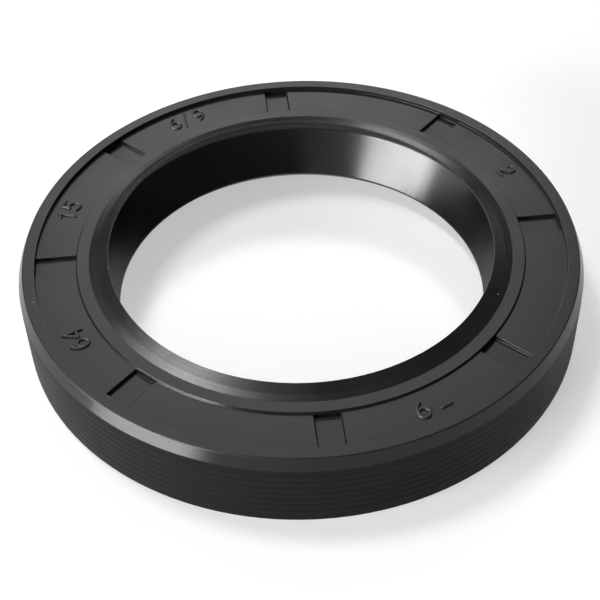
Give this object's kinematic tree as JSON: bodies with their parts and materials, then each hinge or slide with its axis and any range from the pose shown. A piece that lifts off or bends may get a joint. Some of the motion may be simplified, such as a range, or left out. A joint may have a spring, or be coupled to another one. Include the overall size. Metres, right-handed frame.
{
  "type": "radial shaft seal",
  "caption": "Rubber-covered rotary shaft seal with a spring-loaded sealing lip, a dust lip, a channelled air side and a ribbed outside.",
  "frame": {"origin": "centre of the underside, which faces the oil", "axes": "+Z along the shaft axis, out of the air side; the first channel pad is 5.1 degrees from +X towards +Y"},
  "size_m": [0.047, 0.047, 0.0073],
  "materials": {
    "moulded_rubber": "satin",
    "pressed_steel": "phosphated",
    "spring_steel": "drawn wire"
  },
  "bodies": {
    "root": {"rubber_body": "moulded_rubber", "stiffening_ring": "pressed_steel", "garter_spring": "spring_steel"}
  },
  "joints": []
}
